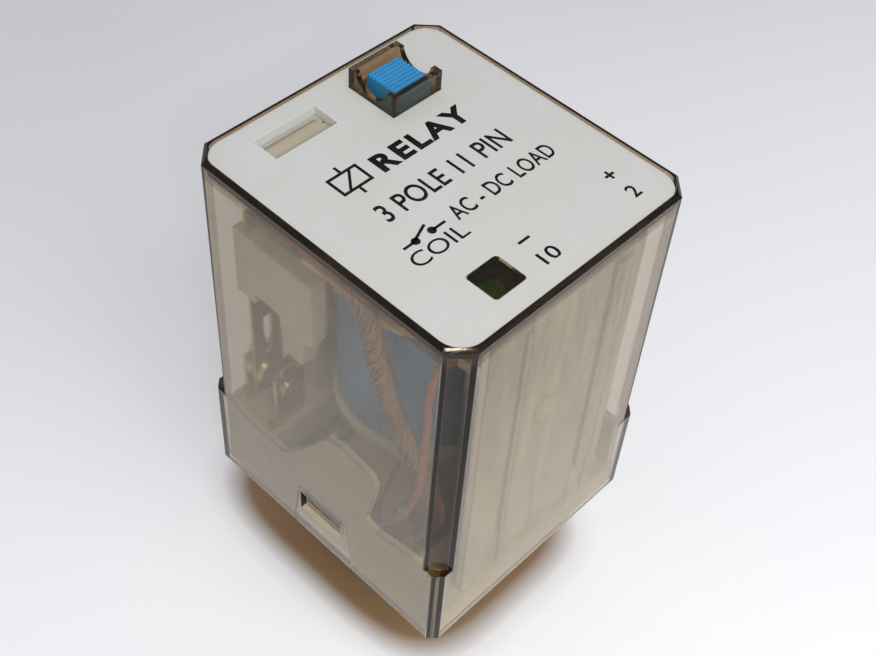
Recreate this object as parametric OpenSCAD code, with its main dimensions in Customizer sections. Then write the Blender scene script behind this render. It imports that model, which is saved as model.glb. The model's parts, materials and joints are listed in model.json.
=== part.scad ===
// Plug-in industrial control relay with three changeover contacts.
// The plug's spigot tip is at z = 0, the cover's centre line is the Z axis,
// -Y is the side with the coil's terminals and +Y the side with the contacts.

/* [Housing] */
// Width of the cover along X
body_w = 32.5; // [32:0.1:34]
// Depth of the cover along Y
body_d = 36; // [35.8:0.1:38]
// Height of the cover
cover_h = 48; // [47.6:0.1:50]
// Wall thickness of the cover's sides
wall = 1.2; // [0.9:0.1:1.4]
// Thickness of the cover's top under the label plate and rim
top_wall = 1.7; // [1.5:0.1:1.9]
// Height of the squarer skirt at the cover's lower edge
skirt_h = 13; // [10:0.5:16]
// Leg of the corner chamfers above the skirt
upper_chamfer = 2.14; // [1.6:0.1:2.6]
// Leg of the corner chamfers on the skirt
skirt_chamfer = 0.96; // [0.8:0.1:1.3]
// Leg of the bevel round the cover's top edge
rim_bevel = 0.35; // [0.2:0.05:0.45]
// Thickness of the label plate
plate_t = 0.7; // [0.6:0.1:0.8]
// Depth of the label plate's face below the rim
label_drop = 0.3; // [0.2:0.05:0.4]
// Radius of the label plate's corners
label_corner = 2.6; // [2.2:0.1:3]

/* [Plug] */
// Diameter of the circle that the plug's pins stand on
pin_circle = 19.05; // [18.8:0.05:19.3]
// Diameter of one pin
pin_d = 2.36; // [2.2:0.02:2.4]
// Free length of one pin
pin_l = 11; // [9:0.5:12]
// Diameter of the centre spigot
spigot_d = 8; // [7.6:0.1:8.4]
// Length of the centre spigot
spigot_l = 13; // [12.5:0.5:15]
// Diameter of the round boss that carries the pins
boss_d = 26; // [24:0.5:28]
// Height of the round boss
boss_h = 3; // [2:0.5:4]

/* [Coil] */
// Outer diameter of the taped coil
coil_d = 19.5; // [18:0.1:19.6]
// Diameter of the iron core
core_d = 7; // [6:0.1:7.4]
// Thickness of the yoke's iron
yoke_t = 1.6; // [1.4:0.1:1.7]
// Thickness of the armature's iron
armature_t = 1.5; // [1.4:0.1:1.6]
// Width of the armature
armature_w = 16; // [15:0.5:17]
// Angle that the armature turns through when it pulls in
pull_in_deg = 3.5; // [3:0.1:3.5]

/* [Contacts] */
// Distance between neighbouring poles
pole_pitch = 10.5; // [10.3:0.1:10.6]
// Diameter of a contact's head
contact_d = 3.5; // [3:0.1:3.6]
// Width of the contact blades and moving springs
blade_w = 4; // [3.6:0.1:4]
// Thickness of the fixed blades and the terminals
blade_t = 0.5; // [0.4:0.05:0.5]
// Thickness of the moving springs
spring_t = 0.4; // [0.3:0.05:0.4]

/* [Controls] */
// Width of the test button along X
button_w = 4.3; // [4:0.1:4.4]
// Depth of the test button along Y
button_d = 4.5; // [4.2:0.1:4.6]
// Height of the button's guard above the label plate
guard_h = 2.3; // [2:0.1:2.5]
// Number of ribs on the button
button_ribs = 9; // [7:1:9]

/* [Hidden] */
$fn = 48;

// A cut runs this far past the face it opens
past = 0.1;
// Gap left between two fixed pieces that meet
seat = 0.05;

smoke = [0.45, 0.40, 0.36, 0.45];
ivory = "#D8CFB8";
iron = "#B9B6AE";
brass = "#C9A65A";
silver = "#D9D6CE";
copper = "#B4693C";
braid_red = "#B77E66";
signal_blue = "#2C8CC4";
coil_blue = "#4F86C6";

// Levels from the spigot's tip upwards
cover_z = spigot_l + boss_h;
step_z = cover_z + skirt_h;
top_z = cover_z + cover_h;
under_top_z = top_z - top_wall;
label_z = top_z - label_drop;
guard_top_z = label_z + guard_h;
floor_z = cover_z + 3.6;
strip_top_z = floor_z + 0.6;

// Half sizes of the space inside the cover
in_x = body_w / 2 - wall;
in_y = body_d / 2 - wall;

// The magnet: coil axis, yoke foot, bobbin flanges and pole face
coil_y = -0.5;
foot_z = floor_z + 11.4;
bobbin_z = foot_z + yoke_t;
flange_t = 1.2;
flange_r = coil_d / 2 + 0.45;
bobbin_h = 20.4;
winding_h = bobbin_h - 2 * flange_t;
tape_t = 0.35;
tube_r = 4.6;
hinge_z = bobbin_z + bobbin_h + 1.2;
pole_face_z = hinge_z - 0.05;
leg_back_y = -12.6;
hinge_y = leg_back_y + yoke_t / 2;
yoke_w = 14;
// The armature's free end and the slotted tail that the spring pulls on
arm_end_y = 12.2;
tail_y = -15;
tail_w = 3.4;
spring_y = -13.9;
spring_tab_z = 38;

// Radius of a pin's shank inside the base
shank_r = 0.8;

// Contact planes along Y, from the coil outwards
no_y = 10.2;
head_t = 0.6;
fixed_head_t = 0.65;
moving_y = 13.6;
nc_y = 15.3;
contact_z = 31;
blade_top_z = 34.5;
block_top_z = 26.4;
neck_w = 1.8;

// Poles 1, 2 and 3 along X
pole_x = [pole_pitch, 0, -pole_pitch];

// Button, indicator slot and lamp window in plan
button_x = 5.8;
button_y = 11.85;
guard_x = [2, 8.7];
guard_y = [8.55, 15.05];
guard_t = 0.6;
well_z = under_top_z + 0.6;
button_top_z = top_z + 1;
slot_x = [-10.45, -2.6];
slot_y = [11.75, 15.1];
lining_t = 0.5;
lamp_x = [-8.55, -4.4];
lamp_y = [-14.9, -11];
flag_y = (slot_y[0] + slot_y[1]) / 2;
flag_z = under_top_z - 2.1;
flag_r = 2.45;
trunnion_r = 0.6;

// Snap windows in the cover's X faces
window_w = 6.5;
window_z = [19.7, 22.8];

function span(r) = r[1] - r[0];
function middle(r) = (r[0] + r[1]) / 2;
function inner_leg(leg, inset) = max(leg - inset * (2 - sqrt(2)), 0.05);

// Angle of a pin, counted from the key at -Y, counter-clockwise from above
function pin_angle(n) = -90 + 360 / 11 * (n - 0.5);
function pin_xy(n) = pin_circle / 2 * [cos(pin_angle(n)), sin(pin_angle(n))];

// ---- shared shapes ----

// A box from its low corner to its high corner
module block(low, high) {
    translate(low) cube(high - low);
}

// The housing's outline in plan, pulled in by inset, with its corners cut
module outline(inset, leg) {
    w = body_w / 2 - inset;
    d = body_d / 2 - inset;
    polygon([
        [w - leg, -d], [w, leg - d], [w, d - leg], [w - leg, d],
        [leg - w, d], [-w, d - leg], [-w, leg - d], [leg - w, -d]
    ]);
}

// A rectangle with round corners, from its low to its high X and Y
module round_rect(x, y, r) {
    for (cx = [x[0] + r, x[1] - r], cy = [y[0] + r, y[1] - r])
        translate([cx, cy]) circle(r);
    translate([x[0] + r, y[0]]) square([span(x) - 2 * r, span(y)]);
    translate([x[0], y[0] + r]) square([span(x), span(y) - 2 * r]);
}

// A plate in the YZ plane, from x0 to x0 + t
module side_plate(x0, t, points) {
    translate([x0, 0, 0]) rotate([90, 0, 90]) linear_extrude(t) polygon(points);
}

function unit(v) = v / norm(v);
function catmull(a, b, c, d, t) =
    0.5 * (2 * b + (c - a) * t + (2 * a - 5 * b + 4 * c - d) * t * t
        + (3 * b - 3 * c + d - a) * t * t * t);
// A smooth curve through the points p, with n steps between two of them
function smooth(p, n) = [
    for (i = [0 : len(p) - 2], s = [0 : n - 1])
        catmull(p[max(i - 1, 0)], p[i], p[i + 1], p[min(i + 2, len(p) - 1)], s / n),
    p[len(p) - 1]
];
function tangents(p) = [
    for (i = [0 : len(p) - 1]) unit(p[min(i + 1, len(p) - 1)] - p[max(i - 1, 0)])
];
function carried(n, t) = unit(n - (n * t) * t);
function normals(t, start) = [
    for (i = 0, n = carried(start, t[0]); i < len(t);
        i = i + 1, n = i < len(t) ? carried(n, t[i]) : n) n
];

// A round wire along the points p; start is any direction across its first step
module wire(p, r, start, sides = 8) {
    t = tangents(p);
    n = normals(t, start);
    last = len(p) - 1;
    ring = [for (i = [0 : last], j = [0 : sides - 1])
        let (a = 360 * j / sides)
            p[i] + r * (cos(a) * n[i] + sin(a) * cross(t[i], n[i]))];
    faces = [
        [for (j = [0 : sides - 1]) j],
        [for (j = [sides - 1 : -1 : 0]) last * sides + j],
        for (i = [0 : last - 1], j = [0 : sides - 1])
            [i * sides + j, (i + 1) * sides + j,
                (i + 1) * sides + (j + 1) % sides, i * sides + (j + 1) % sides]
    ];
    polyhedron(ring, faces);
}

// ---- housing ----

// Cuts the bevel round the cover's top edge
module rim_cutter() {
    side = rim_bevel * sqrt(2);
    corner = (body_w / 2 + body_d / 2 - upper_chamfer) / sqrt(2);
    corner_turn = [45, 135, 225, 315];
    for (a = [0, 180])
        rotate(a) translate([body_w / 2, 0, top_z])
            rotate([0, 45, 0]) cube([side, 2 * body_d, side], center = true);
    for (a = [90, 270])
        rotate(a) translate([body_d / 2, 0, top_z])
            rotate([0, 45, 0]) cube([side, 2 * body_d, side], center = true);
    for (a = corner_turn)
        rotate(a) translate([corner, 0, top_z])
            rotate([0, 45, 0]) cube([side, 2 * body_d, side], center = true);
}

// The raised guard round the test button, open at its two X sides
module guard() {
    notch_r = 2.2;
    notch_z = guard_top_z + 0.3;
    difference() {
        block([guard_x[0], guard_y[0], under_top_z],
            [guard_x[1], guard_y[1], guard_top_z]);
        translate([guard_x[0] - 1, middle(guard_y), notch_z])
            rotate([0, 90, 0]) cylinder(h = span(guard_x) + 2, r = notch_r);
    }
}

// The space inside the guard, and the hole in its floor for the button
module button_well() {
    clear = 0.1;
    half_w = button_w / 2 + clear;
    half_d = button_d / 2 + clear;
    block([guard_x[0] + guard_t, guard_y[0] + guard_t, well_z],
        [guard_x[1] - guard_t, guard_y[1] - guard_t, guard_top_z + 1]);
    block([button_x - half_w, button_y - half_d, under_top_z - past],
        [button_x + half_w, button_y + half_d, well_z + past]);
}

// One ear under the cover's top with a bore for the flag's trunnion
module flag_ear(x0) {
    ear_t = 0.8;
    ear_r = 1.2;
    difference() {
        union() {
            block([x0, flag_y - ear_r, flag_z], [x0 + ear_t, flag_y + ear_r, under_top_z + past]);
            translate([x0, flag_y, flag_z]) rotate([0, 90, 0]) cylinder(h = ear_t, r = ear_r);
        }
        translate([x0 - 1, flag_y, flag_z])
            rotate([0, 90, 0]) cylinder(h = ear_t + 2, r = trunnion_r + 0.05);
    }
}

// The label plate's outline in plan, pulled in by inset from the rim
module label_outline(inset) {
    w = body_w / 2 - inset;
    d = body_d / 2 - inset;
    round_rect([-w, w], [-d, d], label_corner);
}

// The lamp window's outline in plan, pulled in by inset
module lamp_outline(inset) {
    window_r = 0.4;
    round_rect([lamp_x[0] + inset, lamp_x[1] - inset],
        [lamp_y[0] + inset, lamp_y[1] - inset], window_r);
}

module cover() {
    rim_w = 0.6;
    // Relief behind each wall for the snap lugs: depth, half widths and top
    thinned = 0.35;
    relief_low = 4.9;
    relief_high = 3.85;
    relief_z = window_z[1] + 0.3;
    color(smoke) {
        difference() {
            union() {
                translate([0, 0, cover_z]) linear_extrude(skirt_h) outline(0, skirt_chamfer);
                translate([0, 0, step_z - past])
                    linear_extrude(top_z - step_z + past) outline(0, upper_chamfer);
            }
            rim_cutter();
            translate([0, 0, cover_z - past])
                linear_extrude(skirt_h - wall + past)
                    outline(wall, inner_leg(skirt_chamfer, wall));
            translate([0, 0, cover_z - past])
                linear_extrude(under_top_z - cover_z + past)
                    outline(wall, inner_leg(upper_chamfer, wall));
            translate([0, 0, label_z - plate_t])
                linear_extrude(plate_t + label_drop + past) difference() {
                    label_outline(rim_w);
                    translate([guard_x[0], guard_y[0]]) square([span(guard_x), span(guard_y)]);
                    lamp_outline(seat);
                }
            translate([0, 0, label_z - 0.02]) linear_extrude(label_drop + past) lamp_outline(0);
            block([slot_x[0] - lining_t - seat, slot_y[0] - lining_t - seat, under_top_z - past],
                [slot_x[1] + lining_t + seat, slot_y[1] + lining_t + seat, top_z + past]);
            button_well();
            block([-body_w, -window_w / 2, window_z[0]], [body_w, window_w / 2, window_z[1]]);
            for (side = [-1, 1])
                side_plate(side < 0 ? -in_x - thinned : in_x - past, thinned + past, [
                    [-relief_low, cover_z - past], [relief_low, cover_z - past],
                    [relief_high, relief_z], [-relief_high, relief_z]
                ]);
        }
        difference() {
            guard();
            button_well();
        }
        flag_ear(slot_x[0] - lining_t - 0.9);
        flag_ear(slot_x[1] + lining_t + 0.1);
    }
}

module label_plate() {
    inset = 0.66;
    color("#DCDDD6") difference() {
        union() {
            translate([0, 0, label_z - plate_t + 0.02]) linear_extrude(plate_t - 0.02)
                label_outline(inset);
            block([slot_x[0] - lining_t, slot_y[0] - lining_t, under_top_z + 0.2],
                [slot_x[1] + lining_t, slot_y[1] + lining_t, label_z]);
        }
        block([slot_x[0], slot_y[0], 0], [slot_x[1], slot_y[1], top_z + past]);
        block([guard_x[0] - seat, guard_y[0] - seat, 0],
            [guard_x[1] + seat, guard_y[1] + seat, top_z + past]);
        translate([0, 0, top_z - 2 * plate_t]) linear_extrude(3 * plate_t) lamp_outline(0);
    }
}

// ---- base and plug ----

// The side walls' upper edge with its tower, from -Y to +Y: y, height
wall_edge = [
    [-16.3, 0], [-16.3, 8], [-13.4, 8], [-11.2, 7.5], [-8.1, 6.9], [-6.3, 7.5],
    [-7.3, 11.7], [-7.8, 15], [-6.9, 16.2], [-4.9, 16.5], [-2.7, 16.9], [-0.4, 16.3],
    [2.8, 11.4], [6.6, 7], [13, 6.9], [15.2, 7.9], [16.3, 8], [16.3, 0]
];

module latch_lug(side) {
    depth = body_w / 2 - 0.8;
    mirror([side < 0 ? 1 : 0, 0, 0])
        translate([0, window_w / 2 - 0.25, 0]) rotate([90, 0, 0])
            linear_extrude(window_w - 0.5) polygon([
                [in_x - 1, window_z[0] + 0.15], [in_x - 0.3, window_z[0] + 0.15],
                [depth, window_z[0] + 0.75], [depth, window_z[1] - 0.15],
                [in_x - 1, window_z[1] - 0.15]
            ]);
}

module base() {
    gap = 0.15;
    key_w = 1.6;
    key_out = 1.1;
    side_t = 0.95;
    color(ivory) difference() {
        union() {
            cylinder(h = cover_z, d = spigot_d);
            block([-key_w / 2, -spigot_d / 2 - key_out, 0.6], [key_w / 2, 0, cover_z]);
            translate([0, 0, spigot_l]) cylinder(h = boss_h + past, d = boss_d);
            translate([0, 0, cover_z]) linear_extrude(floor_z - cover_z)
                outline(wall + gap, inner_leg(skirt_chamfer, wall + gap));
            for (side = [-1, 1]) {
                side_plate(side < 0 ? -in_x + gap : in_x - gap - side_t, side_t,
                    [for (p = wall_edge) [p[0], floor_z - past + p[1]]]);
                latch_lug(side);
            }
            block([-3.2, -6.5, floor_z - past], [3.2, 4.4, foot_z - seat]);
            for (x = [-6.6, 5.4])
                block([x, -12.4, floor_z - past], [x + 1.2, -11.2, foot_z - seat]);
        }
        for (n = [1 : 11]) translate([pin_xy(n)[0], pin_xy(n)[1], spigot_l - past]) {
            cylinder(h = 2 * past, d = pin_d + 0.04);
            cylinder(h = floor_z - spigot_l + 1, r = shank_r + 0.02);
        }
        translate([0, 0, -past]) cylinder(h = 9, r = 1.6);
    }
}

// Tubular pin: round nose, thinner shank in the base and a peened head on its strip
module pin(n) {
    nose = 0.7;
    hole_r = 0.55;
    head_r = 1.5;
    tip_z = spigot_l - pin_l;
    shoulder_z = spigot_l + 0.08;
    color(silver) translate([pin_xy(n)[0], pin_xy(n)[1], 0]) rotate_extrude() difference() {
        polygon([
            [0, tip_z + 0.05], [pin_d / 2 - nose, tip_z], [pin_d / 2 - 0.2, tip_z + 0.3],
            [pin_d / 2, tip_z + 0.9], [pin_d / 2, shoulder_z], [shank_r, shoulder_z],
            [shank_r, strip_top_z + 0.03], [head_r, strip_top_z + 0.03],
            [head_r, strip_top_z + 0.3], [shank_r, strip_top_z + 0.6], [0, strip_top_z + 0.6]
        ]);
        translate([0, tip_z - past]) square([hole_r, 5]);
    }
}

// ---- fixed contacts and terminals ----

// A flat strip on the base's floor with the ring that its pin is riveted into
module strip(n, boxes) {
    difference() {
        union() {
            translate([pin_xy(n)[0], pin_xy(n)[1], floor_z]) cylinder(h = blade_t, r = 1.75);
            for (b = boxes)
                block([b[0], b[1], floor_z], [b[2], b[3], floor_z + blade_t]);
        }
        translate([pin_xy(n)[0], pin_xy(n)[1], floor_z - 1]) cylinder(h = 3, r = 0.85);
    }
}

// An upright blade at y with a neck at its foot and a hole for its contact
module upright(x, y, neck_x) {
    difference() {
        union() {
            block([neck_x, y, floor_z], [neck_x + neck_w, y + blade_t, block_top_z]);
            block([min(neck_x, x - blade_w / 2), y, block_top_z - 0.6],
                [max(neck_x + neck_w, x + blade_w / 2), y + blade_t, block_top_z + 0.8]);
            block([x - blade_w / 2, y, block_top_z - 0.6],
                [x + blade_w / 2, y + blade_t, blade_top_z - 1]);
            block([x - blade_w / 2 + 1, y, blade_top_z - 1.2],
                [x + blade_w / 2 - 1, y + blade_t, blade_top_z]);
        }
        translate([x, y - 1, contact_z]) rotate([-90, 0, 0]) cylinder(h = 3, r = 0.85);
    }
}

// Blade that its moving spring rests on: outer plane, poles 1 and 3 mirrored
module nc_blade(pole) {
    color(brass)
        if (pole == 2) {
            strip(5, [[4.2, 8, 6.1, nc_y + blade_t], [-0.9, nc_y - 1.2, 6.1, nc_y + blade_t]]);
            upright(0, nc_y, -0.9);
        } else mirror([pole == 3 ? 1 : 0, 0, 0]) {
            strip(4, [[7.75, 4, 9.6, nc_y + blade_t]]);
            upright(pole_pitch, nc_y, 7.8);
        }
}

// Blade that the spring meets when the armature pulls in: inner plane
module no_blade(pole) {
    color(brass)
        if (pole == 2) {
            strip(7, [[-6.1, 8, -4.2, no_y + blade_t], [-6.1, no_y - 0.6, -2.3, no_y + blade_t]]);
            upright(0, no_y, -4.1);
        } else mirror([pole == 3 ? 1 : 0, 0, 0]) {
            strip(3, [[9.4, -2.3, 13.4, -0.4], [11.6, -2.3, 13.4, no_y + blade_t]]);
            upright(pole_pitch, no_y, 11.6);
        }
}

// A contact rivet with its head towards -Y or +Y of the blade it is in
module contact(x, y, t, towards, thick) {
    face = towards > 0 ? y + t : y;
    translate([x, face, contact_z]) rotate([towards > 0 ? -90 : 90, 0, 0]) rotate_extrude()
        polygon([
            [0, 0.01], [contact_d / 2, 0.01], [contact_d / 2, thick - 0.2],
            [contact_d / 2 - 0.5, thick - 0.03], [0, thick]
        ]);
}

module contact_shank(x, y, t) {
    translate([x, y - 0.02, contact_z]) rotate([-90, 0, 0]) cylinder(h = t + 0.04, r = 0.8);
}

module fixed_contacts() {
    peen = 0.3;
    color(silver) for (x = pole_x) {
        contact(x, no_y, blade_t, 1, fixed_head_t);
        contact_shank(x, no_y, blade_t);
        translate([x, no_y, contact_z]) rotate([90, 0, 0])
            translate([0, 0, 0.01]) cylinder(h = peen, r = 1.2);
        contact(x, nc_y, blade_t, -1, fixed_head_t);
        contact_shank(x, nc_y, blade_t);
        translate([x, nc_y + blade_t, contact_z]) rotate([-90, 0, 0])
            translate([0, 0, 0.01]) cylinder(h = peen, r = 1.2);
    }
}

// Strip from a common pin to the tab that its braid is welded to
module common_terminal(pole) {
    tab_z = 27;
    tab_y = 7.5;
    color(brass)
        if (pole == 2) {
            strip(6, []);
            block([-0.9, tab_y, floor_z], [0.9, tab_y + blade_t, 25]);
            block([-0.9, tab_y, floor_z], [0.9, 8.4, floor_z + blade_t]);
        } else mirror([pole == 3 ? 1 : 0, 0, 0]) {
            strip(1, [[2.7, -10.6, 11.9, -8.75]]);
            block([11.4, -10.6, floor_z], [11.9, -8.75, tab_z]);
        }
}

module coil_terminal(side) {
    tab_z = 25;
    color(brass) mirror([side < 0 ? 1 : 0, 0, 0]) {
        strip(2, [[7.2, -7.15, 12.9, -5.35]]);
        block([12.4, -7.15, floor_z], [12.9, -5.35, tab_z]);
    }
}

// Ivory block that holds the blades' necks, with walls between the poles
module contact_block() {
    low_y = 9.3;
    high_y = 16.4;
    low_z = strip_top_z + 0.75;
    clear = 0.05;
    divider_t = 1;
    outer_x = 13.75;
    color(ivory) difference() {
        union() {
            block([-outer_x, low_y, low_z], [outer_x, high_y, block_top_z - 0.75]);
            for (x = [-5.25, 5.25])
                block([x - divider_t / 2, 11.2, low_z], [x + divider_t / 2, high_y, 38]);
            block([-outer_x, nc_y + blade_t + 0.35, low_z], [outer_x, high_y, 27.5]);
        }
        for (s = [-1, 1]) mirror([s < 0 ? 1 : 0, 0, 0]) {
            block([7.8 - clear, nc_y - clear, 0], [7.8 + neck_w + clear, nc_y + blade_t + clear, 60]);
            block([11.6 - clear, no_y - clear, 0],
                [11.6 + neck_w + clear, no_y + blade_t + clear, 60]);
        }
        block([-0.9 - clear, nc_y - clear, 0], [-0.9 + neck_w + clear, nc_y + blade_t + clear, 60]);
        block([-4.1 - clear, no_y - clear, 0], [-4.1 + neck_w + clear, no_y + blade_t + clear, 60]);
    }
}

// ---- magnet ----

module yoke() {
    foot_end = 5;
    color(iron) difference() {
        union() {
            block([-yoke_w / 2, leg_back_y, foot_z], [yoke_w / 2, foot_end, foot_z + yoke_t]);
            block([-yoke_w / 2, leg_back_y, foot_z],
                [yoke_w / 2, leg_back_y + yoke_t, hinge_z]);
            translate([-yoke_w / 2, hinge_y, hinge_z]) rotate([0, 90, 0])
                cylinder(h = yoke_w, r = yoke_t / 2);
            block([-1.4, leg_back_y - 1.9, spring_tab_z],
                [1.4, leg_back_y + 0.1, spring_tab_z + 0.8]);
        }
        translate([0, coil_y, foot_z - 1]) cylinder(h = yoke_t + 2, d = core_d + 0.04);
    }
}

module core() {
    color(iron) translate([0, coil_y, 0]) {
        translate([0, 0, foot_z]) cylinder(h = pole_face_z - foot_z, d = core_d);
        translate([0, 0, pole_face_z - 1.1]) cylinder(h = 1.1, r = 5.5);
    }
}

module bobbin() {
    color(ivory) translate([0, coil_y, bobbin_z]) difference() {
        union() {
            translate([0, 0, 0.02]) cylinder(h = flange_t, r = flange_r);
            cylinder(h = bobbin_h, r = tube_r);
            translate([0, 0, bobbin_h - flange_t]) cylinder(h = flange_t, r = flange_r);
            for (s = [-1, 1])
                block([s > 0 ? 7.4 : -9.4, -8, 0.02], [s > 0 ? 9.4 : -7.4, -4, flange_t]);
        }
        translate([0, 0, -1]) cylinder(h = bobbin_h + 2, d = core_d + 0.1);
    }
}

module coil_winding() {
    color(copper) translate([0, coil_y, bobbin_z + flange_t + 0.05]) difference() {
        cylinder(h = winding_h - 0.1, r = coil_d / 2 - tape_t - 0.02);
        translate([0, 0, -1]) cylinder(h = winding_h + 2, r = tube_r + 0.02);
    }
}

module coil_tape() {
    color(coil_blue) translate([0, coil_y, bobbin_z + flange_t + 0.08]) difference() {
        cylinder(h = winding_h - 0.16, d = coil_d);
        translate([0, 0, -1]) cylinder(h = winding_h + 2, r = coil_d / 2 - tape_t);
    }
}

// ---- armature and moving contacts ----

// Turns children from the pulled-in pose up to the rest pose
module at_rest() {
    translate([0, hinge_y, hinge_z]) rotate([pull_in_deg, 0, 0])
        translate([0, -hinge_y, -hinge_z]) children();
}

rivet_x = 2.2;
rivet_y = 11.1;

module armature() {
    groove_r = yoke_t / 2 + 0.05;
    shoulder_y = hinge_y - 1.6;
    color(iron) at_rest() difference() {
        union() {
            block([-armature_w / 2, shoulder_y, hinge_z],
                [armature_w / 2, arm_end_y, hinge_z + armature_t]);
            block([-tail_w / 2, tail_y, hinge_z],
                [tail_w / 2, shoulder_y + 1, hinge_z + armature_t]);
        }
        translate([-armature_w, hinge_y, hinge_z]) rotate([0, 90, 0])
            cylinder(h = 2 * armature_w, r = groove_r);
        block([-0.45, spring_y - 0.5, hinge_z - 1], [0.45, spring_y + 0.5, hinge_z + 3]);
        for (x = [-rivet_x, rivet_x])
            translate([x, rivet_y, hinge_z - 1]) cylinder(h = armature_t + 2, r = 0.82);
    }
}

module carrier_rivets() {
    color(iron) at_rest() for (x = [-rivet_x, rivet_x]) translate([x, rivet_y, 0]) {
        translate([0, 0, hinge_z - 2]) cylinder(h = armature_t + 2.1, r = 0.8);
        translate([0, 0, hinge_z + armature_t + 0.02]) cylinder(h = 0.45, r = 1.4);
    }
}

carrier_x = 12.9;
carrier_low_z = 45.2;
carrier_y = [moving_y - 1.3, moving_y + spring_t + 1.2];

module contact_carrier() {
    clear = 0.05;
    cheek_t = 1.9;
    color(ivory) difference() {
        union() {
            at_rest() block([-armature_w / 2 + 0.5, 10.1, hinge_z - 2.6],
                [armature_w / 2 - 0.5, 13.4, hinge_z - 0.03]);
            at_rest() block([-armature_w / 2 + 0.5, arm_end_y + seat, hinge_z - 2.6],
                [armature_w / 2 - 0.5, 14.8, hinge_z + armature_t]);
            block([-carrier_x, carrier_y[0], 47], [carrier_x, carrier_y[1], 54.4]);
            for (x0 = [-carrier_x, carrier_x - cheek_t])
                side_plate(x0, cheek_t, [
                    [3.6, 45.6], [4.8, 45], [5.2, 41.4], [8.2, 41.4], [8.6, 46.4],
                    [carrier_y[1], 46.8], [carrier_y[1], 54.2], [3.6, 54.2]
                ]);
            for (x = pole_x)
                block([x - blade_w / 2 - 0.4, carrier_y[0], carrier_low_z],
                    [x + blade_w / 2 + 0.4, carrier_y[1], 49]);
        }
        for (x = pole_x)
            block([x - blade_w / 2 - clear, moving_y - clear, 0],
                [x + blade_w / 2 + clear, moving_y + spring_t + clear, 55]);
        at_rest() for (x = [-rivet_x, rivet_x])
            translate([x, rivet_y, hinge_z - 4]) cylinder(h = 6, r = 0.82);
    }
}

// Leaf spring that hangs from the carrier, slotted above its contact. The outer
// ones stand up above the carrier to take their braids
module moving_spring(pole) {
    x = pole_x[pole - 1];
    spring_top_z = pole == 2 ? 54.9 : 57;
    color(brass) difference() {
        block([x - blade_w / 2, moving_y, 28.8],
            [x + blade_w / 2, moving_y + spring_t, spring_top_z]);
        translate([x, moving_y - 1, contact_z]) rotate([-90, 0, 0]) cylinder(h = 3, r = 0.85);
        block([x - 0.5, moving_y - 1, 34.5], [x + 0.5, moving_y + 1, 40.5]);
    }
}

module moving_contacts() {
    color(silver) for (x = pole_x) {
        contact(x, moving_y, spring_t, -1, head_t);
        contact(x, moving_y, spring_t, 1, head_t);
        contact_shank(x, moving_y, spring_t);
    }
}

// Tension spring between the armature's tail and the tab on the yoke
module return_spring() {
    wire_r = 0.18;
    coil_r = 0.9;
    turns = 13;
    steps = 14;
    low = spring_tab_z + 1.6;
    high = 52.6;
    helix = [for (i = [0 : turns * steps])
        [coil_r * cos(360 * i / steps), spring_y + coil_r * sin(360 * i / steps),
            low + (high - low) * i / (turns * steps)]];
    top_hook = [[coil_r, spring_y, high], [0.5, spring_y, 53.4], [0, spring_y, 54.4],
        [0, spring_y, 56.2], [0.3, spring_y, 56.6], [0.9, spring_y, 56.3],
        [1, spring_y, 56]];
    low_hook = [[coil_r, spring_y, low], [0.9, spring_y, low - 0.4],
        [0.3, spring_y, low - 0.56]];
    color(silver) {
        wire(helix, wire_r, [1, 0, 0], 6);
        wire(smooth(top_hook, 3), wire_r, [0, 1, 0], 6);
        wire(smooth(low_hook, 3), wire_r, [0, 1, 0], 6);
    }
}

// ---- flexible leads ----

braid_r = 1.1;
// Routes of the braids of poles 1 (and, mirrored, 3) and 2, from spring to pin
side_braid = [
    [10.6, 13.56, 55.8], [10.6, 11.6, 55.9], [10.9, 7, 56.5], [11.3, 2, 56.7],
    [11.4, -1, 55.9], [11.4, -2.9, 53.6], [11.4, -4.3, 48.8], [11.3, -6.4, 43.4],
    [11.1, -9.2, 38.4], [10.6, -11.2, 33.4], [10.2, -11.3, 29],
    [10.1, -9.9, 25.8], [10.1, -9.7, 23]
];
middle_braid = [
    [2.55, 13.8, 36.4], [2.7, 13.7, 37.8], [3.2, 12.8, 38.9], [3.6, 11.5, 38.2],
    [3.6, 10.6, 35.4], [3.4, 10.1, 31.6], [3, 9.7, 27.6], [1.9, 8.6, 26.6],
    [0.7, 7.4, 26.1], [0.1, 6.8, 24.6], [0, 6.85, 22.6]
];

module braid(pole) {
    color(braid_red)
        if (pole == 2) wire(smooth(middle_braid, 4), 0.5, [1, 0, 0]);
        else mirror([pole == 3 ? 1 : 0, 0, 0]) wire(smooth(side_braid, 4), braid_r, [1, 0, 0]);
}

coil_lead_route = [
    [8.6, -5.9, 32.3], [9.2, -5.7, 31.2], [10.6, -5.8, 28.8], [11.8, -6.1, 26.2],
    [12, -6.2, 23.8]
];
board_lead_route = [
    [9.2, -12.2, 57.6], [9.2, -12.2, 56.6], [10.2, -12.2, 55.7], [12, -12.3, 54.6],
    [12.9, -12.5, 51.6], [13, -12.6, 46],
    [13, -12, 36], [13.2, -9.6, 29], [13.4, -7, 25.6], [13.4, -6.3, 23.6]
];

module coil_lead(side) {
    color(copper) mirror([side < 0 ? 1 : 0, 0, 0])
        wire(smooth(coil_lead_route, 4), 0.3, [0, 0, 1], 6);
}

module board_lead(side) {
    color("#7A3B2E") mirror([side < 0 ? 1 : 0, 0, 0])
        wire(smooth(board_lead_route, 4), 0.4, [0, 1, 0]);
}

// ---- indicator and suppression module ----

board_z = 57;
board_t = 0.9;

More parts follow.
